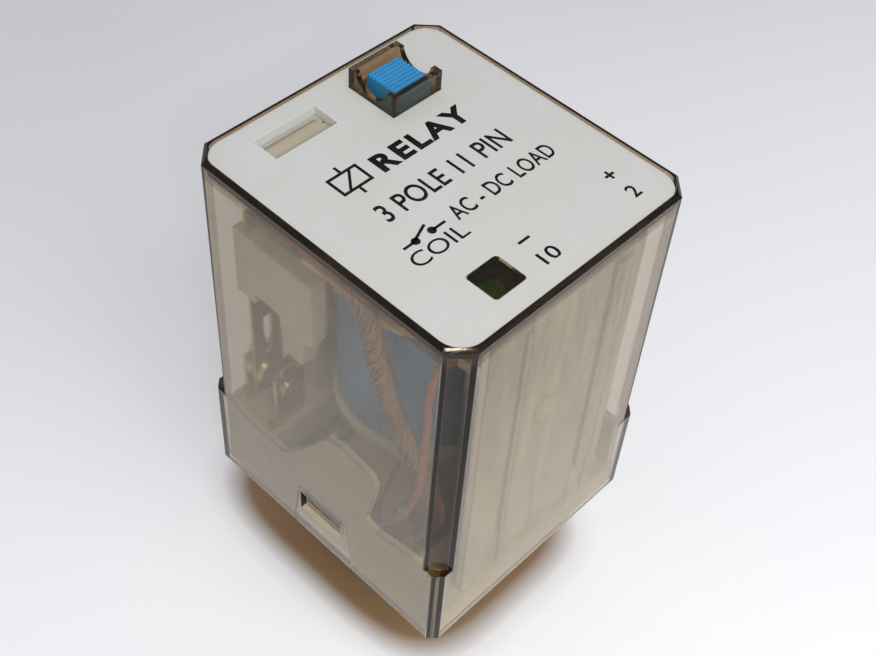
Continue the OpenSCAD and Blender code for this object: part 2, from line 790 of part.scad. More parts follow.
// Ivory plate behind the -Y wall: a narrow and a wide rib, a stud, a shelf for the board
module module_holder() {
    plate_y = -16.2;
    ribs = [[-6.3, -5.5], [6.3, 8.9]];
    stud_x = -1;
    stud_z = 43.9;
    color(ivory) difference() {
        union() {
            block([-11, plate_y, floor_z + seat], [11, plate_y + 1, 60.5]);
            for (r = ribs)
                block([r[0], plate_y - 0.42, 27], [r[1], plate_y + past, 59.4]);
            translate([stud_x, plate_y + past, stud_z]) rotate([90, 0, 0]) rotate_extrude()
                polygon([[0, 0], [1.7, 0], [1.7, 0.22], [1.3, 0.42], [0.7, 0.52], [0, 0.54]]);
            for (x = [-10.8, 9.8])
                block([x, plate_y + 0.5, board_z - 1.2], [x + 1, -13, board_z - 0.02]);
        }
        block([-8, plate_y - 1, floor_z + 2], [8, plate_y + 0.1, floor_z + 5]);
    }
}

module module_board() {
    color("#8A6A3C") difference() {
        block([-10.6, -15.15, board_z], [10.6, -10.2, board_z + board_t]);
        for (x = [-9.2, 9.2])
            translate([x, -12.2, board_z - 1]) cylinder(h = 3, r = 0.5);
    }
}

// Lamp under its window: flange, body and domed lens
module status_led() {
    lamp_r = 1.45;
    flange = 1.75;
    base_z = board_z + board_t + 0.02;
    dome_z = under_top_z - 1.7 - lamp_r;
    // Offset of the lamp from the middle of its window
    lamp_shift = [1, 0.95, 0];
    color("#5FA84A") translate([middle(lamp_x), middle(lamp_y), 0] + lamp_shift) {
        translate([0, 0, base_z]) cylinder(h = 0.6, r = flange);
        translate([0, 0, base_z]) cylinder(h = dome_z - base_z, r = lamp_r);
        intersection() {
            translate([0, 0, dome_z]) sphere(lamp_r);
            translate([0, 0, dome_z]) cylinder(h = 2 * lamp_r, r = 2 * lamp_r);
        }
    }
}

// A barrel with two bent wires, lying on the board along X
module axial_part(x, y, length, r) {
    z = board_z + board_t + r + 0.1;
    lead_r = 0.25;
    translate([x - length / 2, y, z]) rotate([0, 90, 0]) cylinder(h = length, r = r);
    for (s = [-1, 1]) {
        translate([x + s * (length / 2 - 0.2), y, z]) rotate([0, 90 * s, 0])
            cylinder(h = 1.2, r = lead_r);
        translate([x + s * (length / 2 + 0.9), y, board_z + board_t + 0.02])
            cylinder(h = z - board_z - board_t + 0.2, r = lead_r);
    }
}

module module_resistor() {
    color("#C9B48A") axial_part(3.6, -14.1, 4.6, 0.9);
}

module module_diode() {
    color("#2A2A2C") axial_part(3.6, -12.1, 3.6, 0.75);
}

// ---- controls ----

module test_button() {
    rib_pitch = button_d / button_ribs;
    rib_w = 0.28;
    rib_h = 0.18;
    flange_z = under_top_z - 0.1;
    stem_low_z = hinge_z + (button_y - hinge_y) * sin(pull_in_deg) + armature_t + 0.15;
    color(signal_blue) {
        block([button_x - button_w / 2, button_y - button_d / 2, flange_z - 1],
            [button_x + button_w / 2, button_y + button_d / 2, button_top_z - rib_h]);
        for (i = [0 : button_ribs - 1])
            translate([button_x, button_y + (i - (button_ribs - 1) / 2) * rib_pitch,
                button_top_z - rib_h])
                cube([button_w, rib_w, 2 * rib_h], center = true);
        block([button_x - button_w / 2 - 0.6, button_y - button_d / 2 - 0.5, flange_z - 1],
            [button_x + button_w / 2 + 0.6, button_y + button_d / 2 + 0.5, flange_z]);
        translate([button_x, button_y, stem_low_z])
            cylinder(h = flange_z - 0.5 - stem_low_z, r = 1.2);
    }
}

// Rocking flag: its curved top shows in the slot, its tail rides on the armature
module indicator_flag() {
    ends = 0.2;
    low_x = slot_x[0] + ends;
    high_x = slot_x[1] - ends;
    tail_x = -7.5;
    color("#D9CBA8") {
        intersection() {
            translate([low_x, flag_y, flag_z]) rotate([0, 90, 0])
                cylinder(h = high_x - low_x, r = flag_r);
            block([low_x - 1, flag_y - flag_r - 1, flag_z + 0.7],
                [high_x + 1, flag_y + flag_r + 1, flag_z + 2 * flag_r]);
        }
        block([low_x, flag_y - 0.5, flag_z], [low_x + 1, flag_y + 0.5, flag_z + 1]);
        block([high_x - 1, flag_y - 0.5, flag_z], [high_x, flag_y + 0.5, flag_z + 1]);
        translate([low_x, flag_y, flag_z]) rotate([0, 90, 0])
            cylinder(h = high_x - low_x, r = 0.75);
        translate([low_x - 1.25, flag_y, flag_z]) rotate([0, 90, 0])
            cylinder(h = high_x - low_x + 2.5, r = trunnion_r);
        side_plate(tail_x, 1.6, [for (p = [
            [0.4, -0.4], [0.4, 0.9], [-0.6, 0.9], [-4.4, -2.2], [-4.4, -2.9],
            [-3.9, -3.05], [-3.4, -2.9], [-0.5, -0.5]]) [flag_y + p[0], flag_z + p[1]]]);
    }
}

cover();
label_plate();
base();
contact_block();
pin(1);  // pin_01
pin(2);  // pin_02
pin(3);  // pin_03
pin(4);  // pin_04
pin(5);  // pin_05
pin(6);  // pin_06
pin(7);  // pin_07
pin(8);  // pin_08
pin(9);  // pin_09
pin(10);  // pin_10
pin(11);  // pin_11
yoke();
core();
bobbin();
coil_winding();
coil_tape();
armature();
contact_carrier();
moving_spring(1);  // moving_spring_1
moving_spring(2);  // moving_spring_2
moving_spring(3);  // moving_spring_3
moving_contacts();
carrier_rivets();
return_spring();
nc_blade(1);  // nc_blade_1
nc_blade(2);  // nc_blade_2
nc_blade(3);  // nc_blade_3
no_blade(1);  // no_blade_1
no_blade(2);  // no_blade_2
no_blade(3);  // no_blade_3
fixed_contacts();
common_terminal(1);  // common_terminal_1
common_terminal(2);  // common_terminal_2
common_terminal(3);  // common_terminal_3
coil_terminal(1);  // coil_terminal_a
coil_terminal(-1);  // coil_terminal_b
braid(1);  // braid_1
braid(2);  // braid_2
braid(3);  // braid_3
coil_lead(1);  // coil_lead_a
coil_lead(-1);  // coil_lead_b
module_holder();
module_board();
status_led();
module_resistor();
module_diode();
board_lead(1);  // board_lead_a
board_lead(-1);  // board_lead_b
test_button();
indicator_flag();
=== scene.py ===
import json
import math

import bmesh
import bpy
from mathutils import Matrix, Vector, noise


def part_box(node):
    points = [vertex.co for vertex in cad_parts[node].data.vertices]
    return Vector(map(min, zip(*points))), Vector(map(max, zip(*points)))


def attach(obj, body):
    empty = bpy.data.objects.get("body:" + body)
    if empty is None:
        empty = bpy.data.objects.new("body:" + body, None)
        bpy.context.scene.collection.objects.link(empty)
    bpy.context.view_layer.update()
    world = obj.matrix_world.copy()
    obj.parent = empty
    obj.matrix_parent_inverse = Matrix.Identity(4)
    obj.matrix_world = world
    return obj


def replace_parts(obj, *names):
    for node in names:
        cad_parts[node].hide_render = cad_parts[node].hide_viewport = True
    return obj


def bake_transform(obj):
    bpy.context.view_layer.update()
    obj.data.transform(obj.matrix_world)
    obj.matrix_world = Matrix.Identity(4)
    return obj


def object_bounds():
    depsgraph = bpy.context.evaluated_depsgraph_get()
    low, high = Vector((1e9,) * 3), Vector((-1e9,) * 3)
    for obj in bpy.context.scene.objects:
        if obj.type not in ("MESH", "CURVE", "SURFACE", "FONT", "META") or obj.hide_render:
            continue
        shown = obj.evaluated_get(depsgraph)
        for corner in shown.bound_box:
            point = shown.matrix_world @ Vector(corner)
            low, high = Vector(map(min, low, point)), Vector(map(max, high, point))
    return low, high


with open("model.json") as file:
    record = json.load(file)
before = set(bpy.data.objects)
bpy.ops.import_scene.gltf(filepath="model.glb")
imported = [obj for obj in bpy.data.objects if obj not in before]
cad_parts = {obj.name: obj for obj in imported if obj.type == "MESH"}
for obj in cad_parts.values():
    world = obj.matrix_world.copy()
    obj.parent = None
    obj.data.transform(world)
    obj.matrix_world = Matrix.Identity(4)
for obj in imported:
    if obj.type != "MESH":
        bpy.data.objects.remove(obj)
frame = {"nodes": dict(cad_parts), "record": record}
CAD_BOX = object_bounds()
NODES = frame["nodes"]
MM = 0.001


# ---- where things are ----

COVER_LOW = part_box("cover")[0]
LABEL_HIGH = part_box("label_plate")[1]
BASE_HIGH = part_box("base")[1]

# Camera: the point it looks at, its distance from that point and how it stands
AIM = Vector((0.563 * MM, -0.656 * MM, COVER_LOW.z + 25.011 * MM))
CAMERA_DISTANCE = 144.444 * MM
CAMERA_AZIMUTH = math.radians(-139.372)
CAMERA_ELEVATION = math.radians(48.757)
CAMERA_ROLL = math.radians(4.746)
CAMERA_LENS = 55.147


# ---- material tools ----

class Shader:
    """One material's node tree, with short calls for the nodes that this scene uses."""

    def __init__(self, name):
        self.material = bpy.data.materials.new(name)
        self.material.use_nodes = True
        self.tree = self.material.node_tree
        self.tree.nodes.clear()
        self.out = self.node("ShaderNodeOutputMaterial")
        self.principled = self.node("ShaderNodeBsdfPrincipled")
        self.join(self.principled.outputs[0], self.out.inputs["Surface"])
        self.object_space = self.node("ShaderNodeTexCoord").outputs["Object"]

    def node(self, kind, **values):
        n = self.tree.nodes.new(kind)
        for key, value in values.items():
            setattr(n, key, value)
        return n

    def join(self, a, b):
        self.tree.links.new(a, b)

    def feed(self, socket, value):
        """Links an output to a socket, or sets the socket's own value."""
        if isinstance(value, bpy.types.NodeSocket):
            self.join(value, socket)
        else:
            socket.default_value = value

    def set(self, **values):
        """Sets or links the Principled shader's sockets: base_color sets Base Color."""
        for key, value in values.items():
            self.feed(self.principled.inputs[SOCKETS[key]], value)

    def stretched(self, x, y, z):
        m = self.node("ShaderNodeMapping")
        m.inputs["Scale"].default_value = (x, y, z)
        self.join(self.object_space, m.inputs["Vector"])
        return m.outputs[0]

    def noise(self, scale, detail=4.0, roughness=0.55, vector=None, distortion=0.0):
        n = self.node("ShaderNodeTexNoise")
        n.inputs["Scale"].default_value = scale
        n.inputs["Detail"].default_value = detail
        n.inputs["Roughness"].default_value = roughness
        n.inputs["Distortion"].default_value = distortion
        self.join(vector or self.object_space, n.inputs["Vector"])
        return n.outputs["Fac"]

    def cells(self, scale):
        """Distance to the nearest of scattered points."""
        n = self.node("ShaderNodeTexVoronoi")
        n.inputs["Scale"].default_value = scale
        self.join(self.object_space, n.inputs["Vector"])
        return n.outputs["Distance"]

    def waves(self, scale, direction, distortion):
        n = self.node("ShaderNodeTexWave", bands_direction=direction)
        n.inputs["Scale"].default_value = scale
        n.inputs["Distortion"].default_value = distortion
        self.join(self.object_space, n.inputs["Vector"])
        return n.outputs["Fac"]

    def axis(self, index):
        n = self.node("ShaderNodeSeparateXYZ")
        self.join(self.object_space, n.inputs[0])
        return n.outputs[index]

    def math(self, operation, a, b=0.0):
        n = self.node("ShaderNodeMath", operation=operation)
        self.feed(n.inputs[0], a)
        self.feed(n.inputs[1], b)
        return n.outputs[0]

    def spread(self, value, low, high, to_low, to_high):
        """Maps low..high to to_low..to_high, held at its ends."""
        n = self.node("ShaderNodeMapRange")
        self.feed(n.inputs["Value"], value)
        for key, v in (("From Min", low), ("From Max", high), ("To Min", to_low), ("To Max", to_high)):
            n.inputs[key].default_value = v
        return n.outputs[0]

    def ramp(self, value, stops):
        n = self.node("ShaderNodeValToRGB")
        points = n.color_ramp.elements
        while len(points) < len(stops):
            points.new(0.5)
        for point, (at, colour) in zip(points, stops):
            point.position = at
            point.color = (*colour, 1.0)
        self.join(value, n.inputs[0])
        return n.outputs["Color"]

    def blend(self, amount, a, b):
        """Mixes two colours, each a socket or three numbers."""
        n = self.node("ShaderNodeMix", data_type="RGBA")
        self.feed(n.inputs["Factor"], amount)
        for socket, value in ((n.inputs["A"], a), (n.inputs["B"], b)):
            self.feed(socket, value if isinstance(value, bpy.types.NodeSocket) else (*value, 1.0))
        return n.outputs["Result"]

    def bump(self, height, strength, depth, under=None):
        n = self.node("ShaderNodeBump")
        n.inputs["Strength"].default_value = strength
        n.inputs["Distance"].default_value = depth
        self.join(height, n.inputs["Height"])
        if under:
            self.join(under, n.inputs["Normal"])
        return n.outputs[0]


SOCKETS = {
    "base_color": "Base Color", "metallic": "Metallic", "roughness": "Roughness",
    "ior": "IOR", "normal": "Normal", "transmission": "Transmission Weight",
    "coat": "Coat Weight", "coat_roughness": "Coat Roughness",
    "specular_tint": "Specular Tint", "emission": "Emission Color",
    "emission_strength": "Emission Strength",
}


def mix_colours(a, b, t):
    return tuple(p + (q - p) * t for p, q in zip(a, b))


def moulded_plastic(name, colour, roughness=0.42, grain=0.12, grain_scale=7000.0, flow=0.06, specks=0.35):
    """Injection-moulded plastic: slight flow streaks and yellowing, fine mould grain, dust specks."""
    s = Shader(name)
    light = tuple(min(c * (1 + flow), 1.0) for c in colour)
    dark = (colour[0] * (1 - flow), colour[1] * (1 - 1.25 * flow), colour[2] * (1 - 2.2 * flow))
    cloud = s.noise(130.0, 3.0)
    streak = s.noise(260.0, 5.0, 0.6, s.stretched(1.0, 1.0, 0.22), 0.6)
    clouded = s.ramp(cloud, [(0.35, dark), (0.65, light)])
    streaked = s.ramp(streak, [(0.3, dark), (0.7, light)])
    tone = s.blend(0.5, clouded, streaked)
    dust_and_shade = s.spread(s.cells(900.0), 0.03, 0.08, specks, 0.0)
    rare = s.spread(s.noise(420.0, 2.0), 0.58, 0.66, 0.0, 1.0)
    speck = mix_colours(colour, (0.16, 0.13, 0.1), 0.8)
    s.set(
        base_color=s.blend(s.math("MULTIPLY", dust_and_shade, rare), tone, speck),
        roughness=s.spread(s.noise(700.0, 5.0), 0.3, 0.7, roughness - 0.07, roughness + 0.1),
        ior=1.5,
        normal=s.bump(s.noise(grain_scale, 3.0, 0.65), grain, 0.02 * MM),
    )
    return s


def worked_metal(name, colour, dark, roughness, grain_axis=None, grain=0.12, tarnish=0.5):
    """Rolled, drawn or plated metal: grain along one axis, tarnish in patches, small dents."""
    s = Shader(name)
    squeeze = [1.0, 1.0, 1.0]
    if grain_axis is not None:
        squeeze[grain_axis] = 0.04
    lines = s.noise(5200.0, 5.0, 0.7, s.stretched(*squeeze))
    patches = s.noise(520.0, 5.0, 0.6, None, 0.8)
    tone = s.ramp(lines, [(0.3, mix_colours(colour, dark, 0.35)), (0.7, colour)])
    s.set(
        base_color=s.blend(s.spread(patches, 0.5, 0.75, 0.0, tarnish), tone, dark),
        metallic=1.0,
        roughness=s.math(
            "ADD",
            s.spread(lines, 0.3, 0.7, roughness - 0.05, roughness + 0.07),
            s.spread(patches, 0.5, 0.75, 0.0, 0.16),
        ),
        normal=s.bump(lines, grain, 0.012 * MM, s.bump(s.noise(900.0, 2.0), 0.12, 0.03 * MM)),
    )
    return s


# ---- materials ----

# The cover: its tint through the thickness, then the tint of each region's surface and gloss
SMOKE_DENSITY = 435.0
SMOKE_COLOUR = (0.61, 0.52, 0.34)
WALL_TINT, WALL_GLOSS = (0.99, 0.975, 0.955), (0.78, 0.75, 0.66)
# On the chamfers: painted shade on what shows through them, and a painted darker reflection
CHAMFER_SHADED_TINT, CHAMFER_DARK_REFLECTION = (0.5, 0.45, 0.41), (0.2, 0.18, 0.16)
RIM_TINTS, RIM_GLOSS = ((0.44, 0.32, 0.21), (0.7, 0.47, 0.28)), (0.6, 0.5, 0.42)
LAMP_TINT = (0.46, 0.52, 0.26)
# The rim and the guard begin this far under the label's face, and fade in over this height
RIM_DROP, RIM_FADE = 1.9 * MM, 0.35 * MM
# Share of the light that the rim's streaks scatter instead of passing
RIM_CLOUD = 0.03
# The label's square window over the lamp: its middle and its half size
LAMP_WINDOW = Vector((-6.475 * MM, -12.95 * MM))
LAMP_WINDOW_HALF = 2.1 * MM


def cast_clear_shadow(s, colour):
    """Lets lamps shine through a surface, so that what is behind it is lit."""
    clear = s.node("ShaderNodeBsdfTransparent")
    clear.inputs["Color"].default_value = (*colour, 1.0)
    ray = s.node("ShaderNodeLightPath")
    either = s.node("ShaderNodeMixShader")
    s.join(ray.outputs["Is Shadow Ray"], either.inputs[0])
    s.join(s.principled.outputs[0], either.inputs[1])
    s.join(clear.outputs[0], either.inputs[2])
    s.join(either.outputs[0], s.out.inputs["Surface"])


def on_chamfer(s):
    """1 on the cover's corner chamfers, whose faces look along both X and Y."""
    facing = s.node("ShaderNodeSeparateXYZ")
    s.join(s.node("ShaderNodeTexCoord").outputs["Normal"], facing.inputs[0])
    both = s.math("ABSOLUTE", s.math("MULTIPLY", facing.outputs[0], facing.outputs[1]))
    return s.spread(both, 0.38, 0.46, 0.0, 1.0)


def smoke_plastic():
    """Polished smoke-tinted polycarbonate: the tint deepens with thickness, and the faces carry
    hairline scratches, handling smears and a slight moulding ripple. The thick rim and the guard
    pass less light than the walls. The corner chamfers carry painted shade on what shows through
    them, and a painted darker reflection."""
    s = Shader("smoke_cover")
    blotches = s.noise(170.0, 5.0, 0.6, None, 1.4)
    upright_hair = s.noise(700.0, 2.0, 0.5, s.stretched(14.0, 14.0, 1.0))
    level_hair = s.noise(900.0, 2.0, 0.5, s.stretched(1.0, 1.0, 18.0))
    hairline = s.math(
        "MAXIMUM",
        s.spread(level_hair, 0.72, 0.78, 0.0, 0.16),
        s.spread(upright_hair, 0.74, 0.8, 0.0, 0.14),
    )
    haze = s.spread(blotches, 0.42, 0.72, 0.025, 0.12)
    rim_low = LABEL_HIGH.z - RIM_DROP
    on_rim = s.spread(s.axis(2), rim_low, rim_low + RIM_FADE, 0.0, 1.0)
    chamfer = on_chamfer(s)
    # Light that has run along inside the rim leaves it in brown streaks
    streak = s.spread(s.noise(420.0, 3.0, 0.6, s.stretched(0.35, 0.35, 5.0)), 0.42, 0.7, 0.0, 1.0)
    # The lamp window is part of the same layer, but looks olive
    beside_x = s.math("ABSOLUTE", s.math("SUBTRACT", s.axis(0), LAMP_WINDOW.x))
    beside_y = s.math("ABSOLUTE", s.math("SUBTRACT", s.axis(1), LAMP_WINDOW.y))
    over_lamp = s.math("LESS_THAN", s.math("MAXIMUM", beside_x, beside_y), LAMP_WINDOW_HALF)
    rim = s.blend(over_lamp, s.blend(streak, *RIM_TINTS), LAMP_TINT)
    clouded = s.math("MULTIPLY", s.math("MULTIPLY", on_rim, streak), s.math("SUBTRACT", 1.0, over_lamp))
    ripple = s.bump(s.noise(95.0, 2.0), 0.1, 0.12 * MM, s.bump(s.noise(2600.0, 3.0), 0.02, 0.01 * MM))
    s.set(
        # The chamfers' darker tint and gloss are painted shade and a painted darker reflection
        base_color=s.blend(on_rim, s.blend(chamfer, WALL_TINT, CHAMFER_SHADED_TINT), rim),
        specular_tint=s.blend(on_rim, s.blend(chamfer, WALL_GLOSS, CHAMFER_DARK_REFLECTION), RIM_GLOSS),
        roughness=s.math("ADD", haze, hairline),
        ior=1.53,
        transmission=s.math("SUBTRACT", 1.0, s.math("MULTIPLY", clouded, RIM_CLOUD)),
        normal=ripple,
    )
    cast_clear_shadow(s, (0.93, 0.92, 0.9))
    tint = s.node("ShaderNodeVolumeAbsorption")
    tint.inputs["Color"].default_value = (*SMOKE_COLOUR, 1.0)
    tint.inputs["Density"].default_value = SMOKE_DENSITY
    s.join(tint.outputs[0], s.out.inputs["Volume"])
    return s


def label_plastic():
    """White plastic face, with a painted shadow of the gap round the plate's own edge, in smoke brown."""
    s = moulded_plastic("label_white", (0.735, 0.745, 0.715), 0.36, 0.16, 6500.0, 0.025, 0.5)
    edge, face_t = 0.12 * MM, 0.1 * MM
    near_x = s.math("GREATER_THAN", s.math("ABSOLUTE", s.axis(0)), LABEL_HIGH.x - edge)
    near_y = s.math("GREATER_THAN", s.math("ABSOLUTE", s.axis(1)), LABEL_HIGH.y - edge)
    below = s.math("LESS_THAN", s.axis(2), LABEL_HIGH.z - face_t)
    # Painted shadow of the gap between the label and the cover's rim: a dark band round the plate's edge,
    # below its face
    gap_shadow = s.math("MULTIPLY", s.math("MAXIMUM", near_x, near_y), below)
    face = s.principled.inputs["Base Color"].links[0].from_socket
    s.set(base_color=s.blend(gap_shadow, face, (0.085, 0.052, 0.03)))
    return s


def enamelled_winding():
    """Fine enamelled copper wire laid turn by turn round the bobbin."""
    s = worked_metal("copper_wire", (0.66, 0.27, 0.12), (0.3, 0.09, 0.04), 0.3, None, 0.1, 0.4)
    turns = s.waves(2600.0, "Z", 0.4)
    s.set(normal=s.bump(turns, 0.5, 0.06 * MM), coat=0.6, coat_roughness=0.15)
    return s


def blue_tape():
    """Blue polyester tape: fine fibres both ways, a few soft creases, edges slightly faded."""
    s = Shader("coil_tape_blue")
    warp = s.noise(4200.0, 3.0, 0.6, s.stretched(1.0, 1.0, 0.07))
    weft = s.noise(4200.0, 3.0, 0.6, s.stretched(0.12, 0.12, 1.0))
    crease = s.noise(210.0, 4.0, 0.55, s.stretched(1.0, 1.0, 2.6), 1.2)
    fibres = s.math("ADD", s.math("MULTIPLY", warp, 0.5), s.math("MULTIPLY", weft, 0.5))
    blue, faded, deep = (0.115, 0.27, 0.55), (0.2, 0.36, 0.62), (0.06, 0.16, 0.38)
    tone = s.ramp(fibres, [(0.34, deep), (0.5, blue), (0.68, faded)])
    s.set(
        base_color=s.blend(s.spread(crease, 0.5, 0.7, 0.0, 0.5), tone, faded),
        roughness=s.spread(fibres, 0.35, 0.65, 0.3, 0.46),
        ior=1.5,
        normal=s.bump(fibres, 0.25, 0.02 * MM, s.bump(crease, 0.4, 0.12 * MM)),
    )
    return s


def bare_braid():
    """Bare copper strands, pinkish where clean and brown where oxidised."""
    s = worked_metal("copper_braid", (0.47, 0.31, 0.21), (0.2, 0.12, 0.075), 0.42, None, 0.2, 0.75)
    wires = s.noise(9000.0, 2.0, 0.5, s.stretched(1.0, 1.0, 0.2))
    s.set(normal=s.bump(wires, 0.45, 0.03 * MM))
    return s


def laminate():
    """Brown paper laminate, its fibres along the board, with a green cast of solder mask."""
    s = Shader("module_board")
    fibre = s.noise(3000.0, 4.0, 0.6, s.stretched(0.08, 1.0, 1.0))
    patch = s.noise(500.0, 3.0)
    tone = s.ramp(fibre, [(0.35, (0.2, 0.12, 0.045)), (0.65, (0.33, 0.21, 0.09))])
    s.set(
        base_color=s.blend(s.spread(patch, 0.45, 0.6, 0.0, 0.35), tone, (0.1, 0.13, 0.04)),
        roughness=s.spread(fibre, 0.3, 0.7, 0.32, 0.5),
        ior=1.5,
        normal=s.bump(fibre, 0.2, 0.02 * MM),
    )
    return s


def green_resin():
    """Tinted epoxy of the lamp, slightly cloudy, with faint swirls."""
    s = Shader("led_green")
    swirl = s.noise(700.0, 4.0, 0.5, None, 1.5)
    s.set(
        base_color=s.ramp(swirl, [(0.35, (0.1, 0.5, 0.09)), (0.7, (0.2, 0.72, 0.16))]),
        roughness=s.spread(swirl, 0.3, 0.7, 0.06, 0.14),
        ior=1.52,
        transmission=0.75,
        normal=s.bump(swirl, 0.05, 0.02 * MM),
    )
    return s


def banded_part(name, node, body, bands, roughness):
    """Lacquer with colour rings across the part's long axis, as on an axial resistor or diode.
    A band is (start, end, colour), in shares of the part's whole length with its leads."""
    s = Shader(name)
    low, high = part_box(node)
    long_axis = max(range(3), key=lambda i: high[i] - low[i])
    along = s.spread(s.axis(long_axis), low[long_axis], high[long_axis], 0.0, 1.0)
    mottle = s.noise(1500.0, 4.0)
    tone = s.ramp(mottle, [(0.35, mix_colours(body, (0, 0, 0), 0.12)), (0.65, body)])
    for start, end, colour in bands:
        inside = s.math("MULTIPLY", s.math("GREATER_THAN", along, start), s.math("LESS_THAN", along, end))
        tone = s.blend(inside, tone, colour)
    s.set(
        base_color=tone,
        roughness=s.spread(mottle, 0.3, 0.7, roughness, roughness + 0.12),
        ior=1.5,
        normal=s.bump(mottle, 0.12, 0.03 * MM),
    )
    return s


def ink():
    """Black pad-printing ink, thin enough to show its pinholes."""
    s = Shader("print_black")
    pores = s.noise(9000.0, 3.0, 0.6)
    s.set(
        base_color=s.ramp(pores, [(0.3, (0.03, 0.027, 0.025)), (0.55, (0.006, 0.0055, 0.006))]),
        roughness=s.spread(pores, 0.3, 0.7, 0.45, 0.65),
        ior=1.22,
        normal=s.bump(pores, 0.2, 0.008 * MM),
    )
    return s


# The painted warm shadow on the floor: its middle and its half sizes
SHADE_MIDDLE = (2 * MM, 5 * MM)
SHADE_HALF = (15.2 * MM, 19.1 * MM)


def paper_floor():
    """A white sheet, with a painted glow from below and a painted warm shadow under the cover."""
    s = Shader("floor_paper")
    fibre = s.noise(900.0, 6.0, 0.7)
    cloud = s.noise(6.0, 3.0)
    tone = s.ramp(cloud, [(0.3, (0.86, 0.86, 0.89)), (0.7, (0.9, 0.9, 0.925))])
    paper = s.blend(s.spread(fibre, 0.55, 0.75, 0.0, 0.12), tone, (0.7, 0.7, 0.74))
    # The painted shadow is a rounded rectangle: away is 0 at its middle and 1 at its rim
    shares = [
        s.math("DIVIDE", s.math("SUBTRACT", s.axis(i), SHADE_MIDDLE[i]), SHADE_HALF[i])
        for i in range(2)
    ]
    fourths = [s.math("POWER", s.math("ABSOLUTE", share), 4) for share in shares]
    away = s.math("POWER", s.math("ADD", *fourths), 0.25)
    # The painted glow from below is stronger on the side nearest the camera
    near = s.math("ADD", s.math("MULTIPLY", s.axis(0), -0.35), s.math("MULTIPLY", s.axis(1), -0.94))
    glow = s.spread(near, -0.12, 0.05, 0.04, 0.31)
    s.set(
        # Painted shadow: the paper turns warm brown under the cover, and the painted glow stops there
        base_color=s.blend(s.spread(away, 0.97, 1.16, 0.97, 0.0), paper, (0.27, 0.158, 0.066)),
        emission=(0.98, 0.98, 1.0, 1.0),
        emission_strength=s.math("MULTIPLY", glow, s.spread(away, 0.94, 1.3, 0.0, 1.0)),
        roughness=0.62,
        normal=s.bump(fibre, 0.08, 0.05 * MM),
    )
    return s


IVORY = (0.66, 0.615, 0.525)
# Where the ribs of the -Y plate meet it: x, and how dark the painted shade line there is
RIB_EDGES = ((-5.5 * MM, 0.85), (-6.3 * MM, 0.35), (6.3 * MM, 0.45), (8.9 * MM, 0.75))
# The -Y plate's stud: x and z of its middle, the radius of its outline, and y of its front
STUD = (-1 * MM, 43.9 * MM)
STUD_R = 1.75 * MM
STUD_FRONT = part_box("module_holder")[0].y
# The stud, the ribs and the plate's face lie within this depth
PLATE_RELIEF = 0.7 * MM
# The plate's painted shade and dark streaks are darkest at this height
DARKEST_Z = 58 * MM


def ribbed_ivory():
    """Moulded ivory. On the -Y plate, painted shade lines run along the ribs and round the stud,
    painted shade lies beside the narrow rib, dark upright streaks deepen with painted shade
    towards the top, and the stud's face is yellower."""
    s = moulded_plastic("ivory_parts", mix_colours(IVORY, (1, 1, 0.95), 0.1), 0.4, 0.08, 6000.0, 0.08)
    tone = s.principled.inputs["Base Color"].links[0].from_socket
    on_plate = s.math("LESS_THAN", s.axis(1), STUD_FRONT + PLATE_RELIEF)

    # Lays a colour on the -Y plate only: painted shade, the dark streaks and the stud's tint
    def stain(amount, under, colour):
        return s.blend(s.math("MULTIPLY", amount, on_plate), under, colour)

    wander = s.spread(s.noise(800.0, 3.0), 0.3, 0.7, 0.6, 1.0)
    # Painted shade beside the narrow rib, deepening towards the top
    beside = s.math("LESS_THAN", s.axis(0), RIB_EDGES[1][0])
    shade = s.math("MULTIPLY", beside, s.spread(s.axis(2), 34 * MM, DARKEST_Z, 0.0, 0.55))
    tone = stain(s.math("MULTIPLY", shade, wander), tone, (0.26, 0.2, 0.15))
    # Dark upright streaks, deepened towards the top by painted shade
    blotches = s.spread(s.noise(420.0, 4.0, 0.6, s.stretched(1.0, 1.0, 0.16), 0.4), 0.3, 0.7, 0.3, 1.0)
    upper = s.spread(s.axis(2), 32 * MM, DARKEST_Z, 0.45, 0.95)
    tone = stain(s.math("MULTIPLY", blotches, upper), tone, (0.17, 0.14, 0.05))
    along_x = s.math("SUBTRACT", s.axis(0), STUD[0])
    along_z = s.math("SUBTRACT", s.axis(2), STUD[1])
    squares = s.math("ADD", s.math("POWER", along_x, 2.0), s.math("POWER", along_z, 2.0))
    radius = s.math("SQRT", squares)
    on_stud = s.math("LESS_THAN", radius, STUD_R)
    tone = stain(s.math("MULTIPLY", on_stud, 0.75), tone, (0.54, 0.5, 0.3))
    lines = [(s.math("ABSOLUTE", s.math("SUBTRACT", s.axis(0), x)), depth) for x, depth in RIB_EDGES]
    lines.append((s.math("ABSOLUTE", s.math("SUBTRACT", radius, STUD_R)), 0.4))
    for distance, depth in lines:
        # Painted shade lines along the ribs and round the stud
        dust_and_shade = s.spread(distance, 0.05 * MM, 0.45 * MM, depth, 0.0)
        tone = stain(s.math("MULTIPLY", dust_and_shade, wander), tone, (0.16, 0.125, 0.09))
    s.set(base_color=tone)
    return s


